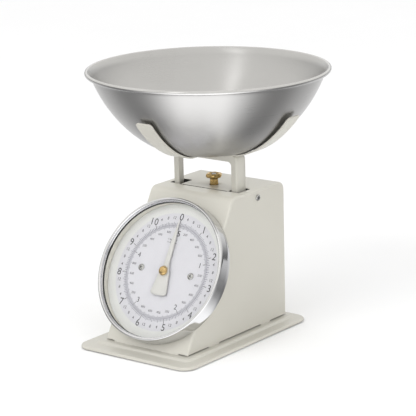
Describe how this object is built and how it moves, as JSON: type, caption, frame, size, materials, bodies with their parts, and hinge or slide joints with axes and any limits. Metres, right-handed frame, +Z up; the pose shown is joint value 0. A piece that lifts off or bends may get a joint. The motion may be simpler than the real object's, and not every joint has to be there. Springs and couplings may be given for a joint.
{
  "type": "kitchen dial scale",
  "caption": "Kitchen dial scale: sloped enamelled housing on a base plate, glazed round dial, brass zero nut, sprung cradle with curved arms and a lift-off steel bowl.",
  "frame": {"origin": "centre of the overall footprint at the level of the feet", "axes": "+X to the right of someone facing the dial, +Y to the back, +Z up"},
  "size_m": [0.25, 0.262, 0.2733],
  "materials": {
    "enamel": "gloss enamel, warm stone cream",
    "dial_face": "printed matt white",
    "pointer_paint": "satin cream",
    "chrome": "polished",
    "glass": "clear",
    "bowl_steel": "fine spun satin",
    "bright_steel": "nickel plated, satin",
    "plated_steel": "zinc plated sheet",
    "spring_wire": "oiled drawn wire",
    "brass": "satin brass",
    "rubber": "matt black"
  },
  "bodies": {
    "base": {"base_plate": "enamel", "feet": "rubber", "foot_rivets": "bright_steel", "front_panel": "enamel", "rear_cover": "enamel", "side_left": "enamel", "side_right": "enamel", "side_screws": "bright_steel", "cheek_left": "plated_steel", "cheek_right": "plated_steel", "frame_top": "plated_steel", "frame_screws": "plated_steel", "movement_plate": "brass", "movement_bridge": "brass", "movement_pillars": "brass", "rack_guide": "brass", "spindle_bushes": "brass", "link_rods": "bright_steel", "dial_pan": "enamel", "dial_plate": "dial_face", "dial_screws": "bright_steel", "dial_gasket": "rubber", "lens": "glass", "bezel": "chrome"},
    "carriage": {"cradle": "enamel", "cradle_arms": "enamel", "arm_rivets": "enamel", "cross_plate": "plated_steel", "drive_arm": "plated_steel", "spring_beam": "plated_steel", "carriage_rivets": "plated_steel", "leg_pins": "bright_steel"},
    "bowl": {"bowl": "bowl_steel"},
    "upper_link": {"upper_link": "plated_steel"},
    "lower_link": {"lower_link": "plated_steel"},
    "rack": {"rack": "brass", "rack_pin": "bright_steel"},
    "indicator": {"pinion": "brass", "spindle": "bright_steel", "pointer": "pointer_paint", "pointer_nut": "brass"},
    "zero_knob": {"zero_knob": "brass"},
    "hanger": {"hanger_bar": "plated_steel", "hanger_stud": "plated_steel", "spring_left": "spring_wire", "spring_right": "spring_wire"}
  },
  "joints": [
    {"name": "load_slide", "type": "slide", "parent": "base", "child": "carriage", "axis": [0, 0, -1], "range_m": [0, 0.01643], "stiffness_N_per_m": 3030, "springref_m": -0.0042, "deforming": ["spring_left", "spring_right"]},
    {"name": "bowl_lift", "type": "slide", "parent": "carriage", "child": "bowl", "axis": [0, 0, 1], "range_m": [0, 0.12]},
    {"name": "pointer_turn", "type": "hinge", "parent": "base", "child": "indicator", "pos_m": [0, -0.06797, 0.0754], "axis": [0, 0.872, -0.4895], "range_deg": [0, 361]},
    {"name": "rack_slide", "type": "slide", "parent": "base", "child": "rack", "axis": [0, -0.4895, -0.872], "range_m": [0, 0.019]},
    {"name": "upper_link_swing", "type": "hinge", "parent": "base", "child": "upper_link", "pos_m": [0, 0.055, 0.12378], "axis": [1, 0, 0], "range_deg": [0, 18.2]},
    {"name": "lower_link_swing", "type": "hinge", "parent": "base", "child": "lower_link", "pos_m": [0, 0.055, 0.03978], "axis": [1, 0, 0], "range_deg": [0, 18.2]},
    {"name": "zero_turn", "type": "hinge", "parent": "base", "child": "zero_knob", "pos_m": [0, 0.012, 0.1565], "axis": [0, 0, 1], "range_deg": [-720, 720]},
    {"name": "hanger_slide", "type": "slide", "parent": "base", "child": "hanger", "axis": [0, 0, 1], "range_m": [-0.00165, 0.00165]}
  ],
  "couplings": [
    {"joint": "pointer_turn", "follows": "load_slide", "rad_per_m": 382.26},
    {"joint": "rack_slide", "follows": "load_slide", "ratio": 1.1468},
    {"joint": "upper_link_swing", "follows": "load_slide", "rad_per_m": 19.073},
    {"joint": "lower_link_swing", "follows": "load_slide", "rad_per_m": 19.073},
    {"joint": "hanger_slide", "follows": "zero_turn", "m_per_rad": -0.00012732}
  ]
}
